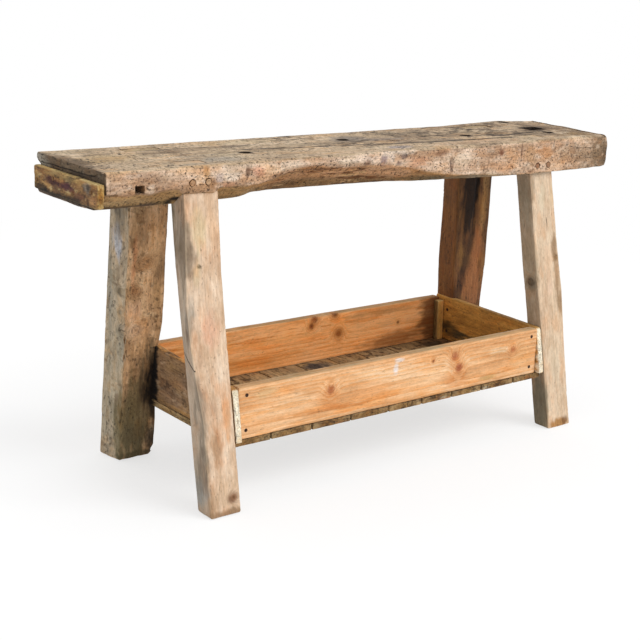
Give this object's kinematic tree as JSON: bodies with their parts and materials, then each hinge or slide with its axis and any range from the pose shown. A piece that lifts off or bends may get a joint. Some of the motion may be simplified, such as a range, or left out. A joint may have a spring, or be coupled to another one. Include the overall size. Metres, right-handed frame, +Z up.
{
  "type": "workbench",
  "caption": "Rustic carpenter's workbench: thick bevel-edged slab on splayed, through-tenoned legs, with holdfast holes, a planing stop mortise and a nailed board tray below.",
  "frame": {"origin": "on the floor, under the middle of the whole bench's box", "axes": "+X along the bench to its right end, +Y towards its back, +Z up; the front, with the hewn bevel, looks towards -Y"},
  "size_m": [1.666, 0.5078, 0.8],
  "materials": {
    "slab_timber": "old sawn and hewn hardwood, worn grey-tan on top, with a dark bevel underneath",
    "batten_timber": "softwood strip, worn and stained",
    "front_leg_timber": "rough sawn pale hardwood with stains and fine checks",
    "back_leg_timber": "rough sawn hardwood, brown, grey on its side",
    "dark_leg_timber": "rough sawn hardwood, dark brown with a groove",
    "peg_timber": "end grain of driven pegs",
    "tray_pine": "knotty pine board, orange-tan, sawn",
    "end_board_timber": "rough board, grey-brown outside and ochre inside, with pale sawn ends",
    "post_timber": "tan sawn softwood",
    "floor_timber": "grey-brown sawn boards",
    "nail_iron": "rusted wrought iron"
  },
  "bodies": {
    "root": {"slab_top": "slab_timber", "end_batten": "batten_timber", "batten_nails": "nail_iron", "leg_front_left": "front_leg_timber", "leg_front_right": "front_leg_timber", "leg_back_left": "back_leg_timber", "leg_back_right": "dark_leg_timber", "drawbore_pegs": "peg_timber", "tray_front_board": "tray_pine", "tray_back_board": "tray_pine", "tray_end_board_left": "end_board_timber", "tray_end_board_right": "end_board_timber", "corner_post_front_left": "post_timber", "corner_post_front_right": "post_timber", "corner_post_back_left": "post_timber", "corner_post_back_right": "post_timber", "floor_board_1": "floor_timber", "floor_board_2": "floor_timber", "floor_board_3": "floor_timber", "floor_board_4": "floor_timber", "floor_board_5": "floor_timber", "floor_board_6": "floor_timber", "floor_board_7": "floor_timber", "floor_board_8": "floor_timber", "floor_board_9": "floor_timber", "front_board_nails": "nail_iron", "back_board_nails": "nail_iron", "end_board_nails": "nail_iron", "floor_board_nails": "nail_iron"}
  },
  "joints": []
}
